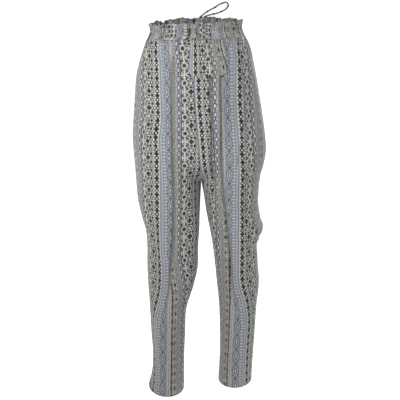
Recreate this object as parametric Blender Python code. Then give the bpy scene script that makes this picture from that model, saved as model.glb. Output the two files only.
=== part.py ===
# Pull-on pajama pants in worn form: a gathered waistband with a ruffled header, two front and two back
# leg panels, a placket on the front and a drawstring loop. The front faces -Y and the wearer's right is -X.
# The origin is at the middle of the elastic channel. Sizes are in millimetres, and MM turns them into metres.
import math

import bmesh
import bpy
import numpy as np
from mathutils import Vector

MM = 0.001
LEGS = ("right", "left")

# Cloth
PANEL_WALL = 1.3
BAND_WALL = 2.0
PLACKET_WALL = 1.2
SEAM_GAP = 0.3
WAIST_SEAM_GAP = 1.2
LEG_GAP = 0.5
LAY_GAP = 0.4

# Waistband
WAIST_HALF_WIDTH = 122.0
WAIST_HALF_DEPTH = 90.0
WAIST_CENTRE_X = 1.0
CHANNEL_HALF = 12.0
HEADER_HEIGHT = 19.0
CHANNEL_SPREAD = 7.0
SIDE_DIP = 2.0
WAIST_TILT = 0.02
WAIST_LIFT_FADE = 160.0
GATHERS = 36
GATHER_DEPTH = 1.7
RUFFLES = 26
RUFFLE_DEPTH = 4.0
HEADER_FLARE = 0.5
HEADER_UNEVEN = 1.5

# Body of the pants
WAIST_SEAM = -CHANNEL_HALF - WAIST_SEAM_GAP
CROTCH_HEIGHT = -404.0
HEM_HEIGHT = -1000.0
CROTCH_DEPTH_Y = 4.0
FRONT_CURVE_HEIGHT = 95.0
BACK_CURVE_HEIGHT = 150.0
CROTCH_SOFTNESS = 26.0
GATHER_FADE = 95.0
SQUARENESS = 0.9
HEM_SQUARENESS = 1.0
SPLIT_START = {"front": 150.0, "back": 90.0}
INNER_SEAM_FALL = 90.0
SIDE_SEAM_FALL = 300.0
SOFTEN_WITHIN = 40.0
SEAM_CALM = 0.08

# Panel meshes: columns, how many finer ones each holds under the band, and rows down to each height.
COLUMNS = 12
FINER = 3
GATHER_ROWS = 4
ROW_STRETCHES = ((-95.0, GATHER_ROWS), (CROTCH_HEIGHT, 10), (-614.0, 8), (HEM_HEIGHT, 11))
BAND_COLUMNS = 156
BAND_ROWS = 5
DIAGONAL_LEAN = 0.3
SHORTEST_PANEL = 165.0
NORMAL_STEP = 0.004
BAND_STEP = 0.001

# Sections of the body: height, then for each leg the outer and inner X and the front and back Y. Above the
# crotch the inner X is the centre seam.
SECTION_COLUMNS = (
    "height", "right_outer", "right_inner", "right_front", "right_back",
    "left_outer", "left_inner", "left_front", "left_back",
)  # fmt: skip
SECTIONS = (
    (-12, -131, -7, -92, 88, 132, -7, -92, 88),
    (-40, -142, -8, -99, 98, 145, -8, -99, 98),
    (-75, -154, -9, -106, 110, 154, -9, -106, 110),
    (-115, -163, -8, -112, 121, 162, -8, -112, 121),
    (-165, -168, -6, -116, 131, 170, -6, -116, 131),
    (-220, -173, -3, -117, 136, 178, -3, -117, 136),
    (-275, -178, 1, -115, 134, 185, 1, -115, 134),
    (-320, -177, 4, -112, 128, 188, 4, -112, 128),
    (-370, -174, 7, -108, 120, 180, 7, -108, 120),
    (-404, -172, 8, -105, 112, 172, 8, -105, 112),
    (-450, -168, 6, -103, 100, 167, 15, -98, 104),
    (-500, -158, 3, -102, 84, 170, 22, -93, 95),
    (-540, -148, 1, -101, 72, 174, 29, -89, 88),
    (-590, -146, -3, -102, 62, 164, 37, -85, 82),
    (-645, -147, -5, -101, 58, 164, 43, -80, 80),
    (-700, -146, -17, -99, 56, 167, 47, -76, 79),
    (-770, -142, -39, -95, 47, 160, 53, -70, 73),
    (-840, -140, -44, -93, 38, 155, 54, -66, 67),
    (-910, -138, -48, -92, 33, 150, 53, -63, 63),
    (-970, -144, -50, -93, 30, 146, 50, -62, 61),
    (-1000, -152, -51, -95, 29, 144, 48, -63, 60),
)

# How far the front of each hem hangs below its sides, how much higher the whole hem sits, and how much lower
# its +X side is than its middle. The three fade out above the hem.
HEM_DIP = {"right": 10.0, "left": 5.0}
HEM_LIFT = {"right": 0.0, "left": 5.0}
HEM_TILT = {"right": 3.0, "left": -2.0}
HEM_FADE = 160.0

# Folds: leg, place round the leg (0 at the side seam, 1 at the inner seam, negative on the back), height of
# its middle, half width as a share of a panel, half length, lean in shares per metre, and how far it stands out.
FOLDS = (
    # long soft folds that fall from the gathers
    ("right", 0.22, -170, 0.11, 170, 0.10, 4.5),
    ("right", 0.47, -190, 0.10, 190, 0.05, 4.0),
    ("right", 0.74, -150, 0.09, 150, -0.05, 3.5),
    ("left", 0.25, -160, 0.10, 160, -0.10, 4.5),
    ("left", 0.50, -180, 0.11, 180, 0.05, 4.0),
    ("left", 0.76, -165, 0.08, 150, 0.05, 3.5),
    ("right", -0.20, -170, 0.10, 170, 0.05, 4.5),
    ("right", -0.45, -200, 0.11, 200, 0.00, 4.5),
    ("right", -0.72, -160, 0.09, 160, 0.05, 4.0),
    ("left", -0.24, -165, 0.10, 165, -0.05, 4.5),
    ("left", -0.50, -190, 0.11, 190, 0.05, 4.5),
    ("left", -0.75, -155, 0.09, 150, 0.00, 4.0),
    # drape of the thighs and lower legs
    ("right", 0.40, -520, 0.12, 200, -0.10, 5.0),
    ("right", 0.78, -560, 0.12, 170, 0.10, 5.0),
    ("right", 0.30, -820, 0.13, 150, 0.15, 4.0),
    ("right", 0.70, -860, 0.12, 130, -0.20, -3.5),
    ("right", -0.35, -620, 0.13, 210, 0.10, 5.0),
    ("right", -0.75, -560, 0.12, 160, -0.10, 5.0),
    ("right", -0.40, -870, 0.12, 130, 0.00, 4.0),
    ("left", 0.45, -540, 0.12, 180, 0.15, 5.0),
    ("left", 0.80, -600, 0.11, 180, -0.10, 4.5),
    ("left", 0.42, -850, 0.12, 150, -0.10, 4.0),
    ("left", 0.75, -830, 0.12, 140, 0.15, -3.5),
    ("left", -0.35, -640, 0.13, 200, -0.10, 5.0),
    ("left", -0.72, -590, 0.12, 180, 0.10, 5.0),
    ("left", -0.45, -870, 0.12, 140, 0.05, 4.0),
    # slack that breaks round the outside of the left knee
    ("left", 0.20, -398, 0.30, 34, 0.00, -4.5),
    ("left", 0.20, -480, 0.28, 30, 0.00, -5.0),
    ("left", 0.16, -540, 0.26, 26, 0.00, 6.0),
    ("left", 0.16, -596, 0.26, 24, 0.00, -5.0),
    ("left", -0.30, -420, 0.30, 36, 0.00, -5.0),
    ("left", -0.30, -560, 0.30, 30, 0.00, 5.0),
    # slack behind and inside the right knee and calf
    ("right", -0.30, -600, 0.32, 30, 0.00, -5.0),
    ("right", -0.35, -665, 0.30, 30, 0.00, 5.0),
    ("right", 0.70, -735, 0.24, 26, 0.00, -4.5),
    ("right", 0.25, -590, 0.30, 28, 0.00, -4.0),
)

# Placket on the front: the fine columns that it covers on each front, from the centre seam outwards, and how
# far its rounded corner cuts up into its last row at each of them, as a share of that row.
PLACKET_COLUMNS = {"right": 1, "left": 12}
PLACKET_CORNER = {-1: 0.60, 0: 0.22, 1: 0.06}

# Drawstring loop: it leaves the inside of the channel, stands up over the header and goes back in.
CORD_DIAMETER = 5.6
CORD_ROUTE = (
    (-2.0, -87.8, 1.0), (-2.0, -81.5, 5.0), (-1.0, -77.5, 18.0), (3.0, -76.5, 32.0), (12.0, -75.5, 46.0),
    (28.0, -74.5, 59.0), (49.0, -73.5, 70.0), (69.0, -72.5, 81.0), (81.0, -72.0, 83.5), (86.5, -71.5, 77.0),
    (81.0, -71.0, 67.5), (69.0, -71.0, 60.5), (54.0, -71.5, 55.5), (39.0, -73.0, 52.5), (25.0, -75.0, 48.0),
    (15.0, -77.0, 38.5), (11.0, -78.0, 24.0), (10.5, -81.5, 7.0), (10.5, -87.8, 2.0),
)  # fmt: skip
CORD_POINTS = 44

COLOURS = {
    "front": (0.30, 0.31, 0.33),
    "back": (0.27, 0.28, 0.31),
    "band": (0.24, 0.26, 0.31),
    "placket": (0.36, 0.36, 0.35),
    "cord": (0.16, 0.16, 0.15),
}


def clear_scene():
    for old in list(bpy.data.objects):
        bpy.data.objects.remove(old, do_unlink=True)


def smooth_step(value):
    value = min(max(value, 0.0), 1.0)
    return value * value * (3.0 - 2.0 * value)


def bump(value):
    # One at the middle and zero from one half width out, with soft ends.
    return (1.0 - value * value) ** 2 if abs(value) < 1.0 else 0.0


def soft_lesser(first, second, softness):
    # The lesser of two values with the corner between them rounded.
    near = max(softness - abs(first - second), 0.0) / softness
    return min(first, second) - near * near * softness / 4.0


SECTION_HEIGHTS = np.array([row[0] for row in SECTIONS], float)[::-1]
SECTION_VALUES = {
    name: np.array([row[index] for row in SECTIONS], float)[::-1]
    for index, name in enumerate(SECTION_COLUMNS)
}
SECTION_SLOPES = {
    name: np.gradient(values, SECTION_HEIGHTS) for name, values in SECTION_VALUES.items()
}


def section(name, height):
    # A smooth curve through one column of the section table.
    height = min(max(height, SECTION_HEIGHTS[0]), SECTION_HEIGHTS[-1])
    below = min(int(np.searchsorted(SECTION_HEIGHTS, height, side="right")) - 1, len(SECTION_HEIGHTS) - 2)
    step = SECTION_HEIGHTS[below + 1] - SECTION_HEIGHTS[below]
    part = (height - SECTION_HEIGHTS[below]) / step
    values = SECTION_VALUES[name]
    slopes = SECTION_SLOPES[name]
    return (
        (2 * part**3 - 3 * part**2 + 1) * values[below]
        + (part**3 - 2 * part**2 + part) * step * slopes[below]
        + (3 * part**2 - 2 * part**3) * values[below + 1]
        + (part**3 - part**2) * step * slopes[below + 1]
    )


def waist_turn(leg, face, across):
    # Where a panel's point lies round the waist, in turns from the left side seam by way of the front.
    quarter = across / 4.0
    return {
        ("left", "front"): quarter,
        ("right", "front"): 0.5 - quarter,
        ("right", "back"): 0.5 + quarter,
        ("left", "back"): 1.0 - quarter,
    }[leg, face]


def gather_wave(turn):
    angle = 2 * math.pi * turn
    drift = 0.8 * math.sin(3 * angle + 0.6) + 0.6 * math.sin(5 * angle + 2.1)
    depth = 0.8 + 0.2 * math.sin(7 * angle + 1.0)
    return depth * math.cos(GATHERS * angle + drift)


def ruffle_wave(turn):
    angle = 2 * math.pi * turn
    drift = 0.9 * math.sin(2 * angle + 1.3) + 0.7 * math.sin(5 * angle + 0.4)
    depth = 0.75 + 0.25 * math.sin(4 * angle + 2.0)
    return depth * math.cos(RUFFLES * angle + drift)


def waist_lift(turn, x):
    # The band dips a little at both sides and towards the right hip.
    return WAIST_TILT * x - SIDE_DIP * math.cos(4 * math.pi * turn)


def curve_share(face, height):
    # Share of the way that the centre seam has come in from the face towards the crotch.
    rise = FRONT_CURVE_HEIGHT if face == "front" else BACK_CURVE_HEIGHT
    level = min(max((height - CROTCH_HEIGHT) / rise, 0.0), 1.0)
    return 1.0 - math.sqrt(1.0 - (1.0 - level) ** 2)


def inner_height(face, share):
    # Height of the centre seam's point after this share of its length from waist to crotch.
    rise = FRONT_CURVE_HEIGHT if face == "front" else BACK_CURVE_HEIGHT
    reach = abs(section("right_" + face, CROTCH_HEIGHT + rise) - CROTCH_DEPTH_Y)
    straight = WAIST_SEAM - CROTCH_HEIGHT - rise
    bend = math.pi / 2 * math.sqrt((rise**2 + reach**2) / 2)
    length = share * (straight + bend)
    if length <= straight:
        return WAIST_SEAM - length
    return CROTCH_HEIGHT + rise * (1.0 - math.sin((length - straight) / bend * math.pi / 2))


CROTCH_SHARE = (WAIST_SEAM - CROTCH_HEIGHT) / (WAIST_SEAM - HEM_HEIGHT)


def row_height(face, across, down):
    if down >= CROTCH_SHARE:
        return CROTCH_HEIGHT + (HEM_HEIGHT - CROTCH_HEIGHT) * (down - CROTCH_SHARE) / (1.0 - CROTCH_SHARE)
    share = down / CROTCH_SHARE
    outer = WAIST_SEAM + (CROTCH_HEIGHT - WAIST_SEAM) * share
    return outer + (inner_height(face, share) - outer) * across**2


def arc(across, height):
    # Cosine and sine of a quarter turn, a little squarer than a circle above and truly round at the hem.
    angle = across * math.pi / 2
    low = smooth_step((CROTCH_HEIGHT - height) / (CROTCH_HEIGHT - HEM_HEIGHT))
    power = SQUARENESS + (HEM_SQUARENESS - SQUARENESS) * low
    return math.cos(angle) ** power, math.sin(angle) ** power


def centre_seam(leg, height):
    # X of the leg's edge along the centre seam.
    side = -0.5 if leg == "right" else 0.5
    return section("right_inner", height) + side * LEG_GAP


def seat_outline(leg, face, across, height):
    # One quarter of an oval round the hips.
    centre = centre_seam(leg, height)
    outer = section(leg + "_outer", height)
    depth = (section("right_" + face, height) + section("left_" + face, height)) / 2
    cosine, sine = arc(across, height)
    return centre + (outer - centre) * cosine, depth * sine


def leg_outline(leg, face, across, height):
    # Half of a leg's tube, open towards the centre seam above the crotch.
    outer = section(leg + "_outer", height)
    inner = centre_seam(leg, height)
    if height < CROTCH_HEIGHT:
        inner += section(leg + "_inner", height) - section("right_inner", height)
    depth = section(leg + "_" + face, height)
    fall = smooth_step((CROTCH_HEIGHT - height) / INNER_SEAM_FALL)
    middle_y = (section(leg + "_front", height) + section(leg + "_back", height)) / 2
    inner_y = CROTCH_DEPTH_Y + (middle_y - CROTCH_DEPTH_Y) * fall
    outer_y = middle_y * smooth_step((WAIST_SEAM - height) / SIDE_SEAM_FALL)
    middle = (outer + inner) / 2
    if across < 0.5:
        cosine, sine = arc(across * 2, height)
        return middle + (outer - middle) * cosine, outer_y + (depth - outer_y) * sine
    sine, cosine = arc(2 - across * 2, height)
    x = middle + (inner - middle) * sine
    y = inner_y + (depth - inner_y) * cosine
    if height <= CROTCH_HEIGHT:
        return x, y
    shared = (section("right_" + face, height) + section("left_" + face, height)) / 2
    seam_y = shared + (CROTCH_DEPTH_Y - shared) * curve_share(face, height)
    side = -1.0 if face == "front" else 1.0
    softness = CROTCH_SOFTNESS * min(abs(seam_y - CROTCH_DEPTH_Y) / SOFTEN_WITHIN, 1.0) + 0.01
    return x, side * -soft_lesser(-side * y, -side * seam_y, softness)


def hem_lift(leg, height, x, y):
    low = smooth_step(1.0 - (height - HEM_HEIGHT) / HEM_FADE)
    front, back, outer, inner = (section(f"{leg}_{side}", height) for side in ("front", "back", "outer", "inner"))
    toward_back = (2 * y - front - back) / (back - front)
    toward_left = (2 * x - outer - inner) / abs(outer - inner)
    return low * (HEM_DIP[leg] * toward_back + HEM_LIFT[leg] - HEM_TILT[leg] * toward_left)


def plain_point(leg, face, across, down):
    height = row_height(face, across, down)
    start = SPLIT_START[face]
    part = smooth_step((-height - start) / (-CROTCH_HEIGHT - start))
    seat_x, seat_y = seat_outline(leg, face, across, height)
    leg_x, leg_y = leg_outline(leg, face, across, height)
    x = seat_x + (leg_x - seat_x) * part
    y = seat_y + (leg_y - seat_y) * part
    turn = waist_turn(leg, face, across)
    lift = waist_lift(turn, x) * smooth_step(1.0 + height / WAIST_LIFT_FADE)
    return Vector((x, y, height + lift + hem_lift(leg, height, x, y)))


def fold_height(leg, face, across, height):
    # Sum of the folds and gathers at this place of the cloth.
    around = across if face == "front" else -across
    edge = smooth_step((1.0 - across) / SEAM_CALM)
    total = 0.0
    for fold_leg, place, middle, half_width, half_length, lean, rise in FOLDS:
        if fold_leg != leg or abs(height - middle) >= half_length:
            continue
        shift = lean * (height - middle) / 1000.0
        total += rise * bump((around - place - shift) / half_width) * bump((height - middle) / half_length)
    fade = smooth_step(1.0 + (height - WAIST_SEAM) / GATHER_FADE)
    gathers = GATHER_DEPTH * gather_wave(waist_turn(leg, face, across)) * fade
    return total * edge + gathers


def outward(leg, face, across, down):
    # Direction away from the body, square to the plain surface.
    low, high = max(across - NORMAL_STEP, 0.0), min(across + NORMAL_STEP, 1.0)
    top, bottom = max(down - NORMAL_STEP, 0.0), min(down + NORMAL_STEP, 1.0)
    if abs(down - CROTCH_SHARE) < NORMAL_STEP:
        top = CROTCH_SHARE
    along = plain_point(leg, face, high, down) - plain_point(leg, face, low, down)
    fall = plain_point(leg, face, across, bottom) - plain_point(leg, face, across, top)
    normal = along.cross(fall)
    if down < CROTCH_SHARE - NORMAL_STEP and across > 1.0 - NORMAL_STEP:
        normal.x = 0.0  # both fronts, or both backs, share one direction along the centre seam
    normal.normalize()
    return -normal if (leg == "right") == (face == "front") else normal


def cloth_point(leg, face, across, down, lift=0.0):
    point = plain_point(leg, face, across, down)
    rise = fold_height(leg, face, across, point.z) + lift
    return point + outward(leg, face, across, down) * rise


def plain_band_point(turn, level):
    # Level runs from 0 at the waist seam to 1 at the top of the channel and 2 at the header's edge.
    angle = 2 * math.pi * turn
    header = max(level - 1.0, 0.0)
    radius = CHANNEL_SPREAD * smooth_step(1.0 - level) + HEADER_FLARE * header
    radius += GATHER_DEPTH * gather_wave(turn) * (1.0 - 0.6 * header)
    radius += RUFFLE_DEPTH * ruffle_wave(turn) * smooth_step(header)
    x = WAIST_CENTRE_X + (WAIST_HALF_WIDTH + radius) * math.cos(angle)
    y = -(WAIST_HALF_DEPTH + radius) * math.sin(angle)
    height = CHANNEL_HALF * (2 * min(level, 1.0) - 1.0) + HEADER_HEIGHT * header
    uneven = math.sin(9 * angle + 0.5) + 0.6 * math.sin(17 * angle + 2.0)
    height += HEADER_UNEVEN * uneven * header
    return Vector((x, y, height + waist_lift(turn, x)))


def band_point(turn, level, lift):
    along = plain_band_point(turn + BAND_STEP, level) - plain_band_point(turn - BAND_STEP, level)
    rise = plain_band_point(turn, level + BAND_STEP) - plain_band_point(turn, level - BAND_STEP)
    normal = rise.cross(along)
    normal.z *= smooth_step(level)
    normal.normalize()
    return plain_band_point(turn, level) + normal * lift


def material(name, colour):
    made = bpy.data.materials.new(name)
    made.use_nodes = True
    shader = made.node_tree.nodes["Principled BSDF"]
    shader.inputs["Base Color"].default_value = (*colour, 1.0)
    shader.inputs["Roughness"].default_value = 0.85
    shader.inputs["Metallic"].default_value = 0.0
    return made


def row_shares():
    # The row lines' places down the side seam, as shares from waist to hem.
    shares = [0.0]
    for end, count in ROW_STRETCHES:
        start = shares[-1]
        stop = (WAIST_SEAM - end) / (WAIST_SEAM - HEM_HEIGHT)
        shares += [start + (stop - start) * (row + 1) / count for row in range(count)]
    return shares


ROW_SHARES = row_shares()
ROWS = len(ROW_SHARES) - 1


def add_grid(shell, left, right, columns, rows):
    # A flat grid with whole numbers for its lines: columns along X from left to right, rows down Y from 0.
    made = bmesh.ops.create_grid(shell, x_segments=columns, y_segments=rows, size=0.5)
    for corner in made["verts"]:
        corner.co.x = left + (corner.co.x + 0.5) * (right - left)
        corner.co.y = (0.5 - corner.co.y) * rows


def add_wall(shell):
    # Cuts the flat sheet into triangles whose diagonals all lean one way, then gives it a second side at
    # Z -1, which stands for the cloth's inner side.
    for corner in shell.verts:
        corner.co.x += DIAGONAL_LEAN * corner.co.y
    bmesh.ops.triangulate(shell, faces=shell.faces, quad_method="SHORT_EDGE")
    for corner in shell.verts:
        corner.co.x -= DIAGONAL_LEAN * corner.co.y
    raised = bmesh.ops.extrude_face_region(shell, geom=shell.faces)
    for item in raised["geom"]:
        if isinstance(item, bmesh.types.BMVert):
            item.co.z = -1.0
    bmesh.ops.recalc_face_normals(shell, faces=shell.faces)


def finish(name, shell, cloth):
    if shell.calc_volume(signed=True) < 0:
        bmesh.ops.reverse_faces(shell, faces=shell.faces)
    mesh = bpy.data.meshes.new(name)
    shell.to_mesh(mesh)
    shell.free()
    mesh.shade_smooth()
    mesh.set_sharp_from_angle(angle=math.radians(50))
    mesh.materials.append(cloth)
    piece = bpy.data.objects.new(name, mesh)
    bpy.context.scene.collection.objects.link(piece)
    return piece


def across_of(column):
    # The share from side seam to inner seam, kept half a seam gap clear of both.
    margin = SEAM_GAP / 2 / SHORTEST_PANEL
    return margin + column / COLUMNS * (1.0 - 2 * margin)


def down_of(row):
    return float(np.interp(row, range(ROWS + 1), ROW_SHARES))


def panel(leg, face, cloth):
    shell = bmesh.new()
    add_grid(shell, 0, COLUMNS, COLUMNS, ROWS)
    gathered = [
        edge
        for edge in shell.edges
        if edge.verts[0].co.y < GATHER_ROWS + 0.5 and abs(edge.verts[0].co.y - edge.verts[1].co.y) < 0.5
    ]
    bmesh.ops.subdivide_edges(shell, edges=gathered, cuts=FINER - 1, use_grid_fill=True)
    add_wall(shell)
    for corner in shell.verts:
        column, row, depth = corner.co
        corner.co = cloth_point(leg, face, across_of(column), down_of(row), depth * PANEL_WALL) * MM
    return finish(f"{face}_{leg}_leg", shell, cloth)


def waistband(cloth):
    # A plain ring of radius 1, with its inner side at half that, spun and then moved to the gathered shape.
    shell = bmesh.new()
    levels = [2.0 * row / BAND_ROWS for row in range(BAND_ROWS + 1)]
    profile = [(1.0, level) for level in levels] + [(0.5, level) for level in reversed(levels)]
    corners = [shell.verts.new((radius, 0.0, level)) for radius, level in profile]
    edges = [shell.edges.new(pair) for pair in zip(corners, corners[1:] + corners[:1])]
    bmesh.ops.spin(
        shell, geom=corners + edges, axis=(0, 0, 1), angle=2 * math.pi, steps=BAND_COLUMNS, use_merge=True
    )
    bmesh.ops.recalc_face_normals(shell, faces=shell.faces)
    for corner in shell.verts:
        turn = math.atan2(corner.co.y, corner.co.x) / (2 * math.pi)
        depth = 2.0 * (math.hypot(corner.co.x, corner.co.y) - 1.0)
        corner.co = band_point(turn, corner.co.z, depth * BAND_WALL) * MM
    return finish("waistband", shell, cloth)


def placket_point(position, row, depth):
    # Position counts the fronts' fine columns from the centre seam, negative on the right front.
    row -= PLACKET_CORNER.get(position, 0.0) * max(row - GATHER_ROWS + 1, 0.0)
    lift = LAY_GAP + PLACKET_WALL * (1.0 + depth)
    if position == 0:
        sides = [cloth_point(leg, "front", 1.0, down_of(row), lift) for leg in LEGS]
        return (sides[0] + sides[1]) / 2
    leg = "right" if position < 0 else "left"
    return cloth_point(leg, "front", across_of(COLUMNS - abs(position) / FINER), down_of(row), lift)


def placket(cloth):
    # It has the fronts' own columns, rows and diagonals, moved out, and is joined along the centre seam.
    shell = bmesh.new()
    for side, leg in zip((-1, 1), LEGS):
        half = bmesh.new()
        add_grid(half, -PLACKET_COLUMNS[leg], 0, PLACKET_COLUMNS[leg], GATHER_ROWS)
        add_wall(half)
        joined = [face for face in half.faces if abs(face.calc_center_median().x) < 1e-4]
        bmesh.ops.delete(half, geom=joined, context="FACES_ONLY")
        for corner in half.verts:
            column, row, depth = corner.co
            corner.co = placket_point(-side * round(column), row, depth) * MM
        if side > 0:
            bmesh.ops.reverse_faces(half, faces=half.faces)
        mesh = bpy.data.meshes.new("half")
        half.to_mesh(mesh)
        half.free()
        shell.from_mesh(mesh)
        bpy.data.meshes.remove(mesh)
    bmesh.ops.remove_doubles(shell, verts=shell.verts, dist=1e-6)
    return finish("front_placket", shell, cloth)


def smooth_route(points, count):
    # Evenly spaced points on a Catmull-Rom curve through the route.
    ends = [2 * Vector(points[0]) - Vector(points[1]), 2 * Vector(points[-1]) - Vector(points[-2])]
    knots = [ends[0], *map(Vector, points), ends[1]]
    dense = []
    for index in range(1, len(knots) - 2):
        before, start, end, after = knots[index - 1 : index + 3]
        for step in range(12):
            part = step / 12
            dense.append(
                0.5
                * (
                    2 * start
                    + (end - before) * part
                    + (2 * before - 5 * start + 4 * end - after) * part**2
                    + (3 * start - before - 3 * end + after) * part**3
                )
            )
    dense.append(knots[-2])
    reach = [0.0]
    for first, second in zip(dense, dense[1:]):
        reach.append(reach[-1] + (second - first).length)
    wanted = np.linspace(0.0, reach[-1], count)
    return [Vector([np.interp(at, reach, [point[axis] for point in dense]) for axis in range(3)]) for at in wanted]


def drawstring(cloth):
    points = smooth_route(CORD_ROUTE, CORD_POINTS)
    curve = bpy.data.curves.new("drawstring", "CURVE")
    curve.dimensions = "3D"
    spline = curve.splines.new("POLY")
    spline.points.add(len(points) - 1)
    for knot, point in zip(spline.points, points):
        knot.co = (*(point * MM), 1.0)
    curve.bevel_depth = CORD_DIAMETER / 2 * MM
    curve.bevel_resolution = 2
    curve.use_fill_caps = True
    curve.materials.append(cloth)
    piece = bpy.data.objects.new("drawstring", curve)
    bpy.context.scene.collection.objects.link(piece)
    return piece


def build():
    clear_scene()
    cloths = {name: material(name + "_cloth", colour) for name, colour in COLOURS.items()}
    for face in ("front", "back"):
        for leg in LEGS:
            panel(leg, face, cloths[face])
    waistband(cloths["band"])
    placket(cloths["placket"])
    drawstring(cloths["cord"])


build()
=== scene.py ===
import math

import bmesh
import bpy
import numpy as np
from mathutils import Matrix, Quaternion, Vector


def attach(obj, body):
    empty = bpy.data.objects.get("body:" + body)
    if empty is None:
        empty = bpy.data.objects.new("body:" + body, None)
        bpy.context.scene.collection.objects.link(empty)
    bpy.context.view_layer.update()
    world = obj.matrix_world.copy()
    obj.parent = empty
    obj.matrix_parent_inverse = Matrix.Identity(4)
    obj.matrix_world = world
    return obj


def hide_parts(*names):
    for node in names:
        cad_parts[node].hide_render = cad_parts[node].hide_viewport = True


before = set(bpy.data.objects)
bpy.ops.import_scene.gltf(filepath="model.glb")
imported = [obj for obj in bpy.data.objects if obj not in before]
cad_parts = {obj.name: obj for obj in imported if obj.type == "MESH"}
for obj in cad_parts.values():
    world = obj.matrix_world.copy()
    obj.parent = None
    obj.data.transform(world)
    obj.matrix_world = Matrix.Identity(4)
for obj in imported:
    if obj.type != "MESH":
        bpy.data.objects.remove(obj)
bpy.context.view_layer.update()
mm = 0.001
legs = ("right", "left")
print("frame loaded")


# camera and light

view = {
    "place": (0.004, -3.0, 0.287), "lookAt": (0.004, 0.0, -0.463), "lens": 100.0, "roll": 1.0,
}


def link(thing):
    bpy.context.scene.collection.objects.link(thing)


def makeCamera():
    lens = bpy.data.cameras.new("camera")
    lens.lens = view["lens"]
    camera = bpy.data.objects.new("camera", lens)
    ahead = Vector(view["lookAt"]) - Vector(view["place"])
    camera.location = view["place"]
    camera.rotation_mode = "QUATERNION"
    roll = Quaternion((0.0, 0.0, 1.0), -math.radians(view["roll"]))
    camera.rotation_quaternion = ahead.to_track_quat("-Z", "Y") @ roll
    link(camera)
    bpy.context.scene.camera = camera


lighting = {
    "sky": {"Color": (1.0, 1.0, 1.0, 1.0), "Strength": 1.0},
    "lamps": (  # name, place, size, watts
        ("key", (-0.6, -1.05, 0.55), 0.5, 1.84),
        ("fill", (1.6, -1.9, 0.9), 1.2, 0.3),
        ("back", (0.5, 0.9, 0.8), 0.5, 1.75),
    ),
    "lookAt": (0.0, 0.0, -0.34),
    "spread": 46.0,  # degrees
}


def makeLights():
    world = bpy.data.worlds.new("studio")
    bpy.context.scene.world = world
    world.use_nodes = True
    feedAll(world.node_tree, world.node_tree.nodes["Background"], lighting["sky"])
    for name, place, size, watts in lighting["lamps"]:
        lamp = bpy.data.lights.new(name, "AREA")
        lamp.shape = "DISK"
        lamp.size = size
        lamp.energy = watts
        lamp.spread = math.radians(lighting["spread"])
        holder = bpy.data.objects.new(name, lamp)
        holder.location = place
        toward = Vector(lighting["lookAt"]) - Vector(place)
        holder.rotation_euler = toward.to_track_quat("-Z", "Y").to_euler()
        link(holder)


# the shape of the body of the pants, in mm: x to the wearer's left, front at -y,
# z up from the middle of the elastic

waistSeam, crotch, hem = -13.2, -404.0, -1000.0
body = {
    "crotchY": 4, "curveRise": {"front": 95, "back": 150}, "splitStart": {"front": 150, "back": 90},
    "softness": 26, "softenWithin": 40, "leastSoftness": 0.01, "legGap": 0.5,
    "squareness": 0.9, "hemSquareness": 1,
    "innerFall": 90, "sideFall": 300, "waistTilt": 0.02, "sideDip": 2, "liftFade": 160,
    "hemDip": {"right": 10, "left": 5}, "hemLift": {"right": 0, "left": 5},
    "hemTilt": {"right": 3, "left": -2}, "hemFade": 160,
}

sectionColumns = (
    "height", "right_outer", "right_inner", "right_front", "right_back",
    "left_outer", "left_inner", "left_front", "left_back",
)
sectionRows = (
    (-12, -131, -7, -92, 88, 132, -7, -92, 88), (-40, -142, -8, -99, 98, 145, -8, -99, 98),
    (-75, -154, -9, -106, 110, 154, -9, -106, 110), (-115, -163, -8, -112, 121, 162, -8, -112, 121),
    (-165, -168, -6, -116, 131, 170, -6, -116, 131), (-220, -173, -3, -117, 136, 178, -3, -117, 136),
    (-275, -178, 1, -115, 134, 185, 1, -115, 134), (-320, -177, 4, -112, 128, 188, 4, -112, 128),
    (-370, -174, 7, -108, 120, 180, 7, -108, 120), (-404, -172, 8, -105, 112, 172, 8, -105, 112),
    (-450, -168, 6, -103, 100, 167, 15, -98, 104), (-500, -158, 3, -102, 84, 170, 22, -93, 95),
    (-540, -148, 1, -101, 72, 174, 29, -89, 88), (-590, -146, -3, -102, 62, 164, 37, -85, 82),
    (-645, -147, -5, -101, 58, 164, 43, -80, 80), (-700, -146, -17, -99, 56, 167, 47, -76, 79),
    (-770, -142, -39, -95, 47, 160, 53, -70, 73), (-840, -140, -44, -93, 38, 155, 54, -66, 67),
    (-910, -138, -48, -92, 33, 150, 53, -63, 63), (-970, -144, -50, -93, 30, 146, 50, -62, 61),
    (-1000, -152, -51, -95, 29, 144, 48, -63, 60),
)
sectionHeights = np.array([row[0] for row in sectionRows], float)[::-1]
sectionValues = {
    name: np.array([row[index] for row in sectionRows], float)[::-1]
    for index, name in enumerate(sectionColumns)
}
sectionSlopes = {name: np.gradient(values, sectionHeights) for name, values in sectionValues.items()}


def smoothStep(value):
    value = np.clip(value, 0.0, 1.0)
    return value * value * (3 - 2 * value)


def bump(value):
    return np.clip(1 - value * value, 0.0, 1.0) ** 2


def softLesser(first, second, softness):
    near = np.maximum(softness - np.abs(first - second), 0.0) / softness
    return np.minimum(first, second) - near * near * softness / 4


def section(name, height):
    height = np.clip(height, sectionHeights[0], sectionHeights[-1])
    below = np.searchsorted(sectionHeights, height, side="right") - 1
    below = np.clip(below, 0, len(sectionHeights) - 2)
    step = sectionHeights[below + 1] - sectionHeights[below]
    part = (height - sectionHeights[below]) / step
    values, slopes = sectionValues[name], sectionSlopes[name]
    return (
        (2 * part**3 - 3 * part**2 + 1) * values[below]
        + (part**3 - 2 * part**2 + part) * step * slopes[below]
        + (3 * part**2 - 2 * part**3) * values[below + 1]
        + (part**3 - part**2) * step * slopes[below + 1]
    )


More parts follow.
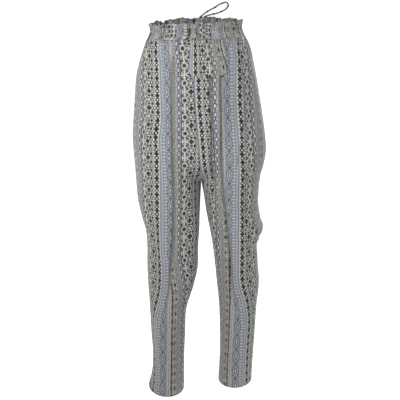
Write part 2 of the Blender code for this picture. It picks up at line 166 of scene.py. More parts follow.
# the turn at a panel's side seam, and the turn to its inner edge
waistStart = {
    ("left", "front"): (0.0, 0.25), ("right", "front"): (0.5, -0.25),
    ("right", "back"): (0.5, 0.25), ("left", "back"): (1.0, -0.25),
}


def waistTurn(leg, face, across):
    start, way = waistStart[leg, face]
    return start + way * across


def waistLift(turn, x):
    return body["waistTilt"] * x - body["sideDip"] * np.cos(4 * np.pi * turn)


def curveShare(face, height):
    level = np.clip((height - crotch) / body["curveRise"][face], 0.0, 1.0)
    return 1 - np.sqrt(1 - (1 - level) ** 2)


def innerHeight(face, share):
    # the centre seam runs straight down and then round to the crotch
    rise = body["curveRise"][face]
    reach = abs(float(section("right_" + face, crotch + rise)) - body["crotchY"])
    straight = waistSeam - crotch - rise
    bend = np.pi / 2 * np.sqrt((rise**2 + reach**2) / 2)
    length = share * (straight + bend)
    curved = crotch + rise * (1 - np.sin(np.clip((length - straight) / bend, 0.0, 1.0) * np.pi / 2))
    return np.where(length <= straight, waistSeam - length, curved)


crotchShare = (waistSeam - crotch) / (waistSeam - hem)


def rowHeight(face, across, down):
    lower = crotch + (hem - crotch) * (down - crotchShare) / (1 - crotchShare)
    share = np.minimum(down / crotchShare, 1.0)
    outer = waistSeam + (crotch - waistSeam) * share
    upper = outer + (innerHeight(face, share) - outer) * across**2
    return np.where(down >= crotchShare, lower, upper)


def arc(across, height):
    low = smoothStep((crotch - height) / (crotch - hem))
    power = body["squareness"] + (body["hemSquareness"] - body["squareness"]) * low
    angle = np.clip(across, 0.0, 1.0) * np.pi / 2
    return np.maximum(np.cos(angle), 0.0) ** power, np.maximum(np.sin(angle), 0.0) ** power


def centreSeam(leg, height):
    side = -0.5 if leg == "right" else 0.5
    return section("right_inner", height) + side * body["legGap"]


def sharedDepth(face, height):
    return (section("right_" + face, height) + section("left_" + face, height)) / 2


def seatOutline(leg, face, across, height):
    centre = centreSeam(leg, height)
    outer = section(leg + "_outer", height)
    cosine, sine = arc(across, height)
    return centre + (outer - centre) * cosine, sharedDepth(face, height) * sine


def legOutline(leg, face, across, height):
    crotchY = body["crotchY"]
    outer = section(leg + "_outer", height)
    ownInner = section(leg + "_inner", height) - section("right_inner", height)
    inner = centreSeam(leg, height) + (height < crotch) * ownInner
    depth = section(leg + "_" + face, height)
    middleY = (section(leg + "_front", height) + section(leg + "_back", height)) / 2
    innerY = crotchY + (middleY - crotchY) * smoothStep((crotch - height) / body["innerFall"])
    outerY = middleY * smoothStep((waistSeam - height) / body["sideFall"])
    middle = (outer + inner) / 2
    cosine, sine = arc(across * 2, height)
    outerX = middle + (outer - middle) * cosine
    outerSide = outerY + (depth - outerY) * sine
    sine, cosine = arc(2 - across * 2, height)
    innerX = middle + (inner - middle) * sine
    innerSide = innerY + (depth - innerY) * cosine
    shared = sharedDepth(face, height)
    seamY = shared + (crotchY - shared) * curveShare(face, height)
    side = -1.0 if face == "front" else 1.0
    softness = np.minimum(np.abs(seamY - crotchY) / body["softenWithin"], 1.0)
    softness = body["softness"] * softness + body["leastSoftness"]
    joined = side * -softLesser(-side * innerSide, -side * seamY, softness)
    x = np.where(across < 0.5, outerX, innerX)
    y = np.where(across < 0.5, outerSide, np.where(height <= crotch, innerSide, joined))
    return x, y


def hemLift(leg, height, x, y):
    low = smoothStep(1 - (height - hem) / body["hemFade"])
    sides = ("front", "back", "outer", "inner")
    front, back, outer, inner = (section(f"{leg}_{side}", height) for side in sides)
    towardBack = (2 * y - front - back) / (back - front)
    towardLeft = (2 * x - outer - inner) / np.abs(outer - inner)
    dip, lift, tilt = (body[name][leg] for name in ("hemDip", "hemLift", "hemTilt"))
    return low * (dip * towardBack + lift - tilt * towardLeft)


def plainPoint(leg, face, across, down):
    across, down = np.broadcast_arrays(np.asarray(across, float), np.asarray(down, float))
    height = rowHeight(face, across, down)
    start = body["splitStart"][face]
    part = smoothStep((-height - start) / (-crotch - start))
    seatX, seatY = seatOutline(leg, face, across, height)
    legX, legY = legOutline(leg, face, across, height)
    x = seatX + (legX - seatX) * part
    y = seatY + (legY - seatY) * part
    lift = waistLift(waistTurn(leg, face, across), x) * smoothStep(1 + height / body["liftFade"])
    return np.stack((x, y, height + lift + hemLift(leg, height, x, y)), axis=-1)


def outward(leg, face, across, down, reach=0.004):
    across, down = np.broadcast_arrays(np.asarray(across, float), np.asarray(down, float))
    low, high = np.maximum(across - reach, 0.0), np.minimum(across + reach, 1.0)
    top, bottom = np.maximum(down - reach, 0.0), np.minimum(down + reach, 1.0)
    top = np.where(np.abs(down - crotchShare) < reach, crotchShare, top)
    along = plainPoint(leg, face, high, down) - plainPoint(leg, face, low, down)
    fall = plainPoint(leg, face, across, bottom) - plainPoint(leg, face, across, top)
    normal = np.cross(along, fall)
    onSeam = (down < crotchShare - reach) & (across > 1 - reach)
    normal[..., 0] = np.where(onSeam, 0.0, normal[..., 0])
    normal /= np.linalg.norm(normal, axis=-1, keepdims=True)
    return -normal if (leg == "right") == (face == "front") else normal


# folds of each leg: place round the leg (0 side seam, 1 inner seam, negative on the back), middle height,
# half width as a share of a panel, half length, lean in shares per metre, rise
folds = {
    "right": (
        # long soft folds that fall from the gathers
        (0.22, -170, 0.11, 170, 0.1, 4.5), (0.47, -190, 0.1, 190, 0.05, 4),
        (0.74, -150, 0.09, 150, -0.05, 3.5), (-0.2, -170, 0.1, 170, 0.05, 4.5),
        (-0.45, -200, 0.11, 200, 0, 4.5), (-0.72, -160, 0.09, 160, 0.05, 4),
        # drape of the thigh and lower leg
        (0.4, -520, 0.12, 200, -0.1, 5), (0.78, -560, 0.12, 170, 0.1, 5),
        (0.3, -820, 0.13, 150, 0.15, 4), (0.7, -860, 0.12, 130, -0.2, -3.5),
        (-0.35, -620, 0.13, 210, 0.1, 5), (-0.75, -560, 0.12, 160, -0.1, 5),
        (-0.4, -870, 0.12, 130, 0, 4),
        # slack behind and inside the knee and calf
        (-0.3, -600, 0.32, 30, 0, -5), (-0.35, -665, 0.3, 30, 0, 5),
        (0.7, -735, 0.24, 26, 0, -4.5), (0.25, -590, 0.3, 28, 0, -4),
    ),
    "left": (
        # long soft folds that fall from the gathers
        (0.25, -160, 0.1, 160, -0.1, 4.5), (0.5, -180, 0.11, 180, 0.05, 4),
        (0.76, -165, 0.08, 150, 0.05, 3.5), (-0.24, -165, 0.1, 165, -0.05, 4.5),
        (-0.5, -190, 0.11, 190, 0.05, 4.5), (-0.75, -155, 0.09, 150, 0, 4),
        # drape of the thigh and lower leg
        (0.45, -540, 0.12, 180, 0.15, 5), (0.8, -600, 0.11, 180, -0.1, 4.5),
        (0.42, -850, 0.12, 150, -0.1, 4), (0.75, -830, 0.12, 140, 0.15, -3.5),
        (-0.35, -640, 0.13, 200, -0.1, 5), (-0.72, -590, 0.12, 180, 0.1, 5),
        (-0.45, -870, 0.12, 140, 0.05, 4),
        # slack that breaks round the outside of the knee
        (0.2, -398, 0.3, 34, 0, -4.5), (0.2, -480, 0.28, 30, 0, -5),
        (0.16, -540, 0.26, 26, 0, 6), (0.16, -596, 0.26, 24, 0, -5),
        (-0.3, -420, 0.3, 36, 0, -5), (-0.3, -560, 0.3, 30, 0, 5),
    ),
}
foldFade = 0.08  # the share of a panel over which folds die out at the inner seam

gatherSet = {"depth": 1.7, "fade": 95, "fineDepth": 0.55, "fineFade": 42}
# waves round the waist: count, then size, count and start of the swing of their height and of two drifts
waves = {
    "gather": (36, (0.2, 7, 1), (0.8, 3, 0.6), (0.6, 5, 2.1)),
    "fine": (83, (0.3, 11, 0), (1.7, 4, 1.1), (1.1, 9, 0.3)),
    "ruffle": (26, (0.25, 4, 2), (0.9, 2, 1.3), (0.7, 5, 0.4)),
}


def wave(kind, turn):
    angle = 2 * np.pi * turn
    count, *rows = waves[kind]
    swing, *drifts = (size * np.sin(times * angle + start) for size, times, start in rows)
    return (1 - rows[0][0] + swing) * np.cos(count * angle + sum(drifts))


def foldRise(leg, face, across, height):
    around = across if face == "front" else -across
    total = np.zeros_like(height)
    for place, middle, halfWidth, halfLength, lean, rise in folds[leg]:
        shift = lean * (height - middle) / 1000
        total += rise * bump((around - place - shift) / halfWidth) * bump((height - middle) / halfLength)
    turn = waistTurn(leg, face, across)
    belowSeam = height - waistSeam
    gathers = gatherSet["depth"] * wave("gather", turn) * smoothStep(1 + belowSeam / gatherSet["fade"])
    fine = gatherSet["fineDepth"] * wave("fine", turn) * smoothStep(1 + belowSeam / gatherSet["fineFade"])
    return total * smoothStep((1 - across) / foldFade) + gathers + fine


def clothPoint(leg, face, across, down, lift):
    point = plainPoint(leg, face, across, down)
    rise = foldRise(leg, face, across, point[..., 2]) + lift
    return point + outward(leg, face, across, down) * rise[..., None]


# the legs

# pleats that hide some of the print: hidden widths above and below, depth, heights where they open and end,
# then height and x
pleats = {
    ("right", "front"): (
        ((29, 40), 8, (-600, -810), (
            (-61, -60), (-191, -63), (-325, -65), (-435, -64), (-547, -70), (-691, -85), (-813, -105),
        )),
        ((7, 7), 4, (-215, -300), ((-23, -86), (-112, -86), (-217, -87), (-300, -89))),
    ),
    ("left", "front"): (
        ((27, 27), 8, (-660, -808), (
            (-63, 66), (-193, 65), (-356, 64), (-454, 71), (-554, 81), (-701, 90), (-808, 99),
        )),
        ((13, 23), 6.8, (-380, -480), ((-140, 38), (-219, 40), (-328, 39), (-416, 40), (-480, 41))),
        ((14, 14), 2.5, (-470, -600), ((-30, 117), (-150, 125), (-300, 130), (-450, 128), (-600, 120))),
    ),
    ("right", "back"): (
        ((22, 22), 6.8, (-520, -700), ((-60, -58), (-300, -60), (-500, -63), (-700, -80))),
        ((18, 18), 5.6, (-300, -460), ((-60, -112), (-300, -118), (-460, -116))),
    ),
    ("left", "back"): (
        ((22, 22), 6.8, (-540, -720), ((-60, 60), (-300, 62), (-500, 70), (-720, 92))),
        ((18, 18), 5.6, (-320, -480), ((-60, 114), (-300, 122), (-480, 118))),
    ),
}
# ridges beside a pleat: height as a share of its depth, place and half width in half widths
pleatSet = {
    "halfWidth": 7, "jump": 3.2, "top": -60, "start": -15, "startOver": 60,
    "ridges": ((0.3, 1.5, 1.5), (0.16, -1.6, 1.6)),
}

# creases of each panel: x and height of both ends, half width, rise
creases = {
    ("right", "front"): (
        (-6, -640, -48, -668, 10, 3), (-10, -690, -60, -706, 10, -3.2), (-24, -735, -72, -728, 9, 2.7),
        (-36, -762, -84, -756, 8, -2.4), (-150, -560, -110, -590, 12, -2.4), (-20, -300, -70, -340, 14, -2.2),
        (-95, -50, -104, -420, 15, -2.2), (-140, -70, -158, -470, 16, -2.6), (-48, -60, -52, -360, 12, -1.8),
        (-122, -520, -114, -900, 12, -2.2), (-70, -780, -66, -1010, 9, -1.6), (-11, -10, -8, -128, 8, -2.8),
    ),
    ("left", "front"): (
        (178, -372, 120, -392, 13, -3.5), (186, -402, 128, -408, 11, 3), (180, -455, 120, -470, 12, -3.8),
        (186, -520, 132, -548, 11, 3.5), (176, -560, 116, -560, 10, -3.2), (172, -600, 122, -632, 10, 2.7),
        (60, -420, 20, -448, 12, -2.4), (74, -600, 40, -640, 10, -2.2), (20, -300, 60, -336, 14, -2.2),
        (44, -110, 52, -380, 11, -1.8), (132, -60, 150, -430, 15, -2.6), (104, -60, 112, -380, 12, -1.8),
        (122, -640, 106, -940, 11, -2.2), (70, -700, 62, -980, 9, 1.8),
    ),
    ("right", "back"): (
        (-30, -330, -110, -350, 14, -3), (-20, -610, -120, -600, 12, -3.5), (-30, -650, -110, -648, 11, 3.2),
        (-40, -700, -120, -690, 11, -2.7), (-60, -50, -70, -420, 15, -3), (-130, -60, -146, -400, 14, -2.6),
        (-96, -560, -100, -900, 13, -2.6), (-24, -180, -34, -420, 12, 2),
    ),
    ("left", "back"): (
        (34, -330, 112, -352, 14, -3), (60, -560, 150, -552, 12, -3.5), (60, -600, 150, -606, 11, 3.2),
        (66, -650, 140, -640, 11, -2.7), (60, -50, 72, -420, 15, -3), (134, -60, 150, -400, 14, -2.6),
        (104, -560, 104, -900, 13, -2.6), (22, -120, 30, -400, 12, 2),
    ),
}

# lines whose place in the print is known: height and x, and the place across the repeat, for the upper and
# the lower part, then the heights between which the one becomes the other
rightBackLine = ((-13, -88), (-500, -86), (-1000, -94))
leftBackLine = ((-13, 90), (-500, 100), (-1000, 98))
anchors = {
    ("right", "front"): (
        (
            (-35, -35), (-66, -31), (-121, -31), (-209, -32), (-298, -34), (-386, -37), (-478, -40),
            (-565, -42), (-611, -44),
        ), 11,
        ((-691, -74), (-750, -78), (-809, -80), (-869, -82), (-959, -86), (-1004, -87)), -39.5, (-560, -740),
    ),
    ("left", "front"): (
        ((-25, 94), (-64, 94), (-169, 93), (-330, 100), (-442, 96), (-585, 95), (-687, 94)), -79.5,
        ((-702, 86), (-762, 82), (-823, 79), (-884, 76), (-946, 73), (-991, 72)), -39.5, (-640, -740),
    ),
    ("right", "back"): (rightBackLine, 52, rightBackLine, 52, (-500, -510)),
    ("left", "back"): (leftBackLine, 11, leftBackLine, 11, (-500, -510)),
}
# which way the print runs lengthwise, and where its repeat starts
lengthwise = {
    ("right", "front"): (1, 31), ("left", "front"): (-1, 36.75),
    ("right", "back"): (-1, 12), ("left", "back"): (1, 24),
}

panelSet = {
    "columns": 120, "rows": 264, "topShare": -0.0009, "thickness": 0.8, "seamWidth": 3.2, "seamDepth": 0.8,
    "edgeFade": 14, "hemStitch": 20, "grooveDepth": 0.5, "grooveHalf": 3,
    "hemRise": 0.35, "hemRiseOver": 4,
}
unevenSet = {"rise": 0.8, "across": 21, "sway": 70, "down": 46, "slantRise": 0.4, "slant": (33, 61)}


def lineAt(points, height):
    heights, places = zip(*points)
    return np.interp(height, heights[::-1], places[::-1])


def arcAt(x, xs, arcs):
    # arc length at these x values, row by row
    found = np.empty(len(xs))
    for row in range(len(xs)):
        order = slice(None) if xs[row, -1] > xs[row, 0] else slice(None, None, -1)
        found[row] = np.interp(x[row], xs[row, order], arcs[row, order])
    return found[:, None]


def creaseRise(leg, face, x, height):
    total = np.zeros_like(x)
    for x1, z1, x2, z2, halfWidth, rise in creases[leg, face]:
        reach = math.hypot(x2 - x1, z2 - z1)
        along = ((x - x1) * (x2 - x1) + (height - z1) * (z2 - z1)) / reach
        aside = ((x - x1) * (z2 - z1) - (height - z1) * (x2 - x1)) / reach
        total += rise * bump(aside / halfWidth) * bump(2 * along / reach - 1)
    return total


def unevenness(x, height, seed):
    sway = 0.7 * np.sin(height / unevenSet["sway"] + seed)
    wave = np.sin(x / unevenSet["across"] + sway) * np.sin(height / unevenSet["down"] + 2.1 * seed)
    across, down = unevenSet["slant"]
    return unevenSet["rise"] * wave + unevenSet["slantRise"] * np.sin(x / across - height / down + seed)


def panelGrid(leg, face):
    shares = np.linspace(panelSet["topShare"], 1.0, panelSet["rows"] + 1)
    across, down = np.meshgrid(np.linspace(0.0, 1.0, panelSet["columns"] + 1), shares)
    plain = plainPoint(leg, face, across, down)
    steps = np.hypot(np.diff(plain[..., 0], axis=1), np.diff(plain[..., 1], axis=1))
    arcs = np.concatenate((np.zeros((len(steps), 1)), np.cumsum(steps, axis=1)), axis=1)
    x, height = plain[..., 0], plain[..., 2]
    middle = height.mean(axis=1)
    seed = {"right": 1.0, "left": 4.0}[leg] + len(face)
    rise = creaseRise(leg, face, x, height) + unevenness(arcs, height, seed)
    jumps = np.zeros_like(arcs)
    for (above, below), depth, (opens, ends), points in pleats[leg, face]:
        away = arcs - arcAt(lineAt(points, middle), x, arcs)
        off = away / pleatSet["halfWidth"]
        form = -bump(off)
        for share, place, halfWidth in pleatSet["ridges"]:
            form += share * bump((off - place) / halfWidth)
        fade = smoothStep((height - ends) / (opens - ends))
        rise += depth * form * fade * smoothStep((pleatSet["start"] - height) / pleatSet["startOver"])
        hidden = smoothStep((pleatSet["top"] - height) / (pleatSet["top"] - opens))
        hidden = above + (below - above) * hidden
        jumps += hidden * fade * smoothStep(away / pleatSet["jump"] + 0.5)
    fromEdge = np.minimum(arcs, arcs[:, -1:] - arcs)
    rise *= smoothStep(fromEdge / panelSet["edgeFade"])
    rise -= panelSet["seamDepth"] * bump(fromEdge / panelSet["seamWidth"])
    aboveHem = (1 - down) * (waistSeam - hem)
    belowStitch = panelSet["hemStitch"] - aboveHem
    rise -= panelSet["grooveDepth"] * bump(belowStitch / panelSet["grooveHalf"])
    rise += panelSet["hemRise"] * smoothStep(belowStitch / panelSet["hemRiseOver"])
    points = clothPoint(leg, face, across, down, rise)
    upper, upperU, lower, lowerU, change = anchors[leg, face]
    shift = []
    for line, value in ((upper, upperU), (lower, lowerU)):
        place = arcAt(lineAt(line, middle), x, arcs)
        jump = [np.interp(place[row, 0], arcs[row], jumps[row]) for row in range(len(arcs))]
        shift.append(value - place - np.array(jump)[:, None])
    part = smoothStep((middle[:, None] - change[1]) / (change[0] - change[1]))
    u = arcs + jumps + shift[1] + (shift[0] - shift[1]) * part
    way, phase = lengthwise[leg, face]
    return points * mm, u, way * (-height - phase), arcs, aboveHem


def reshape(mesh, change):
    shell = bmesh.new()
    shell.from_mesh(mesh)
    change(shell)
    shell.to_mesh(mesh)
    shell.free()


def closeSeam(shell):
    edge = [corner for corner in shell.verts if corner.is_boundary]
    bmesh.ops.remove_doubles(shell, verts=edge, dist=1e-6)


def closeEnds(shell):
    bmesh.ops.recalc_face_normals(shell, faces=shell.faces)
    bmesh.ops.holes_fill(shell, edges=shell.edges, sides=0)


def gridObject(name, grid, closed=False):
    # the grid's points, then the two values of each UV map
    points, *values = grid
    rows, columns = points.shape[0] - 1, points.shape[1] - 1
    shell = bmesh.new()
    bmesh.ops.create_grid(shell, x_segments=columns, y_segments=rows, size=0.5)
    flat = np.array([corner.co[:2] for corner in shell.verts])
    column = np.rint((flat[:, 0] + 0.5) * columns).astype(int)
    row = np.rint((0.5 - flat[:, 1]) * rows).astype(int)
    mesh = bpy.data.meshes.new(name)
    shell.to_mesh(mesh)
    shell.free()
    loops = np.empty(len(mesh.loops), int)
    mesh.loops.foreach_get("vertex_index", loops)
    for mapName, (first, second) in (("cut", values[:2]), ("sew", values[2:])):
        layer = mesh.uv_layers.new(name=mapName)
        pairs = np.stack((first[row, column], second[row, column]), axis=-1)[loops]
        layer.data.foreach_set("uv", pairs.ravel().astype(np.float32))
    mesh.vertices.foreach_set("co", points[row, column].ravel().astype(np.float32))
    mesh.update()
    if closed:
        reshape(mesh, closeSeam)
    mesh.shade_smooth()
    piece = bpy.data.objects.new(name, mesh)
    link(piece)
    return piece


def faceOutward(centreOf):
    # turns a sheet's faces so that their normals point away from the body
    def change(shell):
        votes = 0
        for face in list(shell.faces)[::7]:
            place = face.calc_center_median()
            votes += 1 if face.normal.dot(place - Vector(centreOf(place))) > 0 else -1
        if votes < 0:
            bmesh.ops.reverse_faces(shell, faces=shell.faces)

    return change


def addSheet(name, grid, centreOf, thickness, closed=False):
    piece = gridObject(name, grid, closed)
    reshape(piece.data, faceOutward(centreOf))
    wall = piece.modifiers.new("wall", "SOLIDIFY")
    wall.thickness = thickness * mm
    wall.offset = -1.0
    return piece


def declare(piece, node, cloth):
    piece.data.materials.append(cloth)
    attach(piece, "root")
    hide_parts(node)


# the waistband

band = {
    "halfWidth": 122, "halfDepth": 90, "centreX": 1, "channelHalf": 12, "header": 19,
    "spread": 7, "flare": 0.5, "uneven": 1.5, "ruffleDepth": 4, "columns": 960, "rows": 34,
    "thickness": 1.4, "cutLength": 1120, "round": 690, "printAtCentre": 145.3, "meetBelow": 0.6,
    "puckers": 137, "puckerDepth": 0.85, "frills": 67, "frillDepth": 1.5, "frillRise": 0.7,
    "edgeWaves": 43, "edgeRise": 0.8,
}
bandStitches = ((1, 0.9, 0.09), (0, 0.5, 0.1), (0.5, 0.35, 0.06))  # level, depth, half height
bandPuckers = ((1, 0.35), (0.12, 0.25))  # level, half height
headerNotches = (  # turn, half width in turns, depth
    (0.3554, 0.008, 4.5), (0.2552, 0.006, 5.5), (0.2211, 0.007, 4), (0.405, 0.008, 2.5),
    (0.135, 0.009, 3), (0.62, 0.008, 3), (0.78, 0.007, 3.5), (0.9, 0.008, 3),
)


def plainBandPoint(turn, level):
    angle = 2 * np.pi * turn
    header = np.maximum(level - 1, 0.0)
    radius = band["spread"] * smoothStep(1 - level) + band["flare"] * header
    radius += gatherSet["depth"] * wave("gather", turn) * (1 - 0.6 * header)
    radius += band["ruffleDepth"] * wave("ruffle", turn) * smoothStep(header)
    x = band["centreX"] + (band["halfWidth"] + radius) * np.cos(angle)
    y = -(band["halfDepth"] + radius) * np.sin(angle)
    height = band["channelHalf"] * (2 * np.minimum(level, 1.0) - 1) + band["header"] * header
    uneven = np.sin(9 * angle + 0.5) + 0.6 * np.sin(17 * angle + 2)
    height = height + band["uneven"] * uneven * header
    return np.stack((x, y, height + waistLift(turn, x)), axis=-1)


def bandPoint(turn, level, lift):
    step = 0.001
    along = plainBandPoint(turn + step, level) - plainBandPoint(turn - step, level)
    rise = plainBandPoint(turn, level + step) - plainBandPoint(turn, level - step)
    normal = np.cross(rise, along)
    normal[..., 2] *= smoothStep(level)
    normal /= np.linalg.norm(normal, axis=-1, keepdims=True)
    return plainBandPoint(turn, level) + normal * lift[..., None]


seamLift = -0.7  # how far the band's lower edge lies inside the panels' top edge


def seamLine(turn):
    # the panels' top edge at these turns
    found = np.zeros((*turn.shape, 3))
    for (leg, face), (start, way) in waistStart.items():
        across = (turn - start) / way
        inside = (across >= 0.0) & (across <= 1.0)
        top, lift = np.full(inside.sum(), panelSet["topShare"]), np.full(inside.sum(), seamLift)
        found[inside] = clothPoint(leg, face, across[inside], top, lift)
    return found


def bandGrid():
    turns = np.linspace(0.0, 1.0, band["columns"] + 1)
    turn, level = np.meshgrid(turns, np.linspace(2.0, 0.0, band["rows"] + 1))
    angle = 2 * np.pi * turn
    header, channel = np.maximum(level - 1, 0.0), np.minimum(level, 1.0)
    calm = 1 - 0.5 * header
    lift = gatherSet["fineDepth"] * wave("fine", turn) * calm * (0.5 + 0.5 * smoothStep(level / 0.3))
    for place, depth, halfHeight in bandStitches:
        lift -= depth * bump((level - place) / halfHeight)
    pucker = np.cos(band["puckers"] * angle + 2 * np.sin(13 * angle))
    for place, halfHeight in bandPuckers:
        lift += band["puckerDepth"] * pucker * bump((level - place) / halfHeight)
    frill = np.cos(band["frills"] * angle + 2.2 * np.sin(8 * angle)) * (0.7 + 0.3 * np.sin(19 * angle))
    lift += band["frillDepth"] * frill * header
    points = bandPoint(turn, level, lift)
    meet = smoothStep(1 - level / band["meetBelow"])[..., None]
    points += (seamLine(turn) - points) * meet
    edge = band["frillRise"] * frill + band["edgeRise"] * np.sin(band["edgeWaves"] * angle + 1)
    for place, halfWidth, dip in headerNotches:
        edge = edge - dip * bump((turn - place) / halfWidth)
    points[..., 2] += edge * header**2
    u = band["printAtCentre"] - (turn - 0.25) * band["cutLength"]
    u += 6 * wave("gather", turn) + 4 * wave("fine", turn) + 5 * np.sin(21 * angle) * calm
    upChannel, upHeader = 2 * band["channelHalf"] * channel, band["header"] * header
    q = 2 * band["channelHalf"] - upChannel - upHeader
    return points * mm, u, q, turn * band["round"], upChannel + upHeader


# the placket

placketSet = {
    "columnsRight": 1, "columnsLeft": 12, "columnsPerPanel": 36, "columnWidth": 5.4, "rows": 4,
    "rowHeight": 20, "above": -0.03, "bottom": -95, "lift": 0.6, "thickness": 0.9, "gridColumns": 78,
    "gridRows": 100, "printAtSeam": 50.2, "gather": (1.39, 1.1), "gatherTo": -93, "gatherOver": 80,
    "phase": 15, "stitch": (3.5, 1.6, -0.45), "swell": (9, 6, 0.25),
}
# how much of the last row is cut away at the corner: place, share
placketCorner = ((-1, 0.6), (-0.5, 0.38), (0, 0.22), (1, 0.06), (2, 0))


def placketGrid():
    right, left, rows = placketSet["columnsRight"], placketSet["columnsLeft"], placketSet["rows"]
    place, row = np.meshgrid(
        np.linspace(-right, left, placketSet["gridColumns"] + 1),
        np.linspace(placketSet["above"], rows, placketSet["gridRows"] + 1),
    )
    corner = np.interp(place, *zip(*placketCorner))
    row = row - corner * np.maximum(row - rows + 1, 0.0)
    down = row / rows * (waistSeam - placketSet["bottom"]) / (waistSeam - hem)
    fromSeam = np.abs(place) / placketSet["columnsPerPanel"]
    edge = np.minimum(place + right, left - place) * placketSet["columnWidth"]
    edge = np.minimum(edge, (rows - row) * placketSet["rowHeight"])
    lift = placketSet["lift"] + placketSet["thickness"]
    for middle, halfWidth, rise in (placketSet["stitch"], placketSet["swell"]):
        lift = lift + rise * bump((edge - middle) / halfWidth)
    sides = [clothPoint(leg, "front", 1 - fromSeam, down, lift) for leg in legs]
    near = smoothStep(place / 0.6 + 0.5)[..., None]
    points = sides[0] + (sides[1] - sides[0]) * near
    strong, weak = placketSet["gather"]
    gather = smoothStep((points[..., 2] - placketSet["gatherTo"]) / placketSet["gatherOver"])
    u = placketSet["printAtSeam"] - points[..., 0] * (weak + (strong - weak) * gather)
    return points * mm, u, -points[..., 2] - placketSet["phase"], points[..., 0], edge


# the drawstring

cord = {
    "diameter": 5.6, "sides": 20, "steps": 220, "denser": 12, "printStart": 24, "girth": 18,
    "seamDip": 0.13, "seamHalf": 0.08, "uneven": 0.035,
}
cordRoute = (
    (-2, -87.8, 1), (-2, -81.5, 5), (-1, -77.5, 18), (3, -76.5, 32), (12, -75.5, 46),
    (28, -74.5, 59), (49, -73.5, 70), (69, -72.5, 81), (81, -72, 83.5), (86.5, -71.5, 77),
    (81, -71, 67.5), (69, -71, 60.5), (54, -71.5, 55.5), (39, -73, 52.5), (25, -75, 48),
    (15, -77, 38.5), (11, -78, 24), (10.5, -81.5, 7), (10.5, -87.8, 2),
)


def smoothRoute(points, count):
    points = np.array(points, float)
    knots = np.vstack((2 * points[0] - points[1], points, 2 * points[-1] - points[-2]))
    dense = []
    for index in range(1, len(knots) - 2):
        before, start, end, after = knots[index - 1 : index + 3]
        bend, twist = 2 * before - 5 * start + 4 * end - after, 3 * start - before - 3 * end + after
        for step in range(cord["denser"]):
            part = step / cord["denser"]
            dense.append(0.5 * (2 * start + (end - before) * part + bend * part**2 + twist * part**3))
    dense = np.array([*dense, knots[-2]])
    reach = np.concatenate(([0.0], np.cumsum(np.linalg.norm(np.diff(dense, axis=0), axis=1))))
    wanted = np.linspace(0.0, reach[-1], count)
    route = np.stack([np.interp(wanted, reach, dense[:, axis]) for axis in range(3)], axis=-1)
    return route, float(reach[-1])


def cordGrid():
    route, length = smoothRoute(cordRoute, cord["steps"] + 1)
    tangent = np.gradient(route, axis=0)
    tangent /= np.linalg.norm(tangent, axis=1, keepdims=True)
    side = np.cross(tangent, (0.0, 1.0, 0.0))
    side /= np.linalg.norm(side, axis=1, keepdims=True)
    up = np.cross(side, tangent)
    rounds = np.linspace(0.0, 1.0, cord["sides"] + 1)
    around, step = np.meshgrid(rounds, np.arange(cord["steps"] + 1))
    angle = 2 * np.pi * around
    along = step / cord["steps"] * length
    uneven = cord["uneven"] * np.sin(along / 3.1 + 3 * np.sin(along / 11)) * np.cos(angle * 2)
    seam = cord["seamDip"] * bump((around - 0.5) / cord["seamHalf"])
    radius = cord["diameter"] / 2 * (1 - seam + uneven)
    aside, above = (radius * np.cos(angle))[..., None], (radius * np.sin(angle))[..., None]
    points = route[step] + side[step] * aside + up[step] * above
    girth = around * cord["girth"]
    return points * mm, cord["printStart"] + girth, along, along, girth, route * mm, length * mm


# the print and the weave

inkGain = 0.505  # scales the inks to the studio's light


def ink(*levels):
    # screen levels of 0 to 255 as linear colour
    parts = [level / 255 for level in levels]
    linear = [part / 12.92 if part < 0.0404 else ((part + 0.055) / 1.055) ** 2.4 for part in parts]
    return (*(inkGain * part for part in linear), 1.0)


repeatAcross, repeatAlong = 153.0, 44.5
# where each band starts, its ground, dark and pale inks, and how busy its small marks are
bandInks = (
    (0, (150, 148, 140), (66, 62, 56), (206, 206, 200), 0.35),
    (3, (166, 167, 159), (54, 54, 62), (206, 207, 198), 0.7),
    (22, (184, 185, 178), (42, 44, 40), (190, 193, 191), 0.45),
    (33, (168, 169, 163), (38, 40, 39), (204, 206, 200), 0.4),
    (39.5, (164, 165, 160), (40, 43, 42), (206, 208, 202), 0.3),
    (46, (162, 163, 157), (28, 30, 29), (206, 208, 202), 0.4),
    (58.2, (186, 188, 187), (110, 110, 114), (196, 196, 196), 0.1),
    (59.8, (144, 144, 157), (108, 108, 122), (178, 178, 188), 0.1),
    (65, (170, 176, 173), (112, 116, 120), (196, 200, 199), 0.1),
    (70, (138, 142, 149), (70, 76, 86), (190, 195, 200), 0.1),
    (77, (136, 140, 147), (70, 74, 88), (184, 190, 196), 0.15),
    (99, (164, 162, 157), (90, 90, 92), (204, 203, 197), 0.25),
    (111.4, (118, 115, 102), (40, 41, 34), (184, 183, 172), 0.5),
    (115.6, (150, 149, 142), (48, 49, 44), (190, 190, 182), 0.5),
    (130, (168, 166, 162), (78, 77, 76), (204, 202, 199), 0.45),
    (143, (158, 160, 163), (78, 81, 92), (196, 199, 203), 0.35),
)

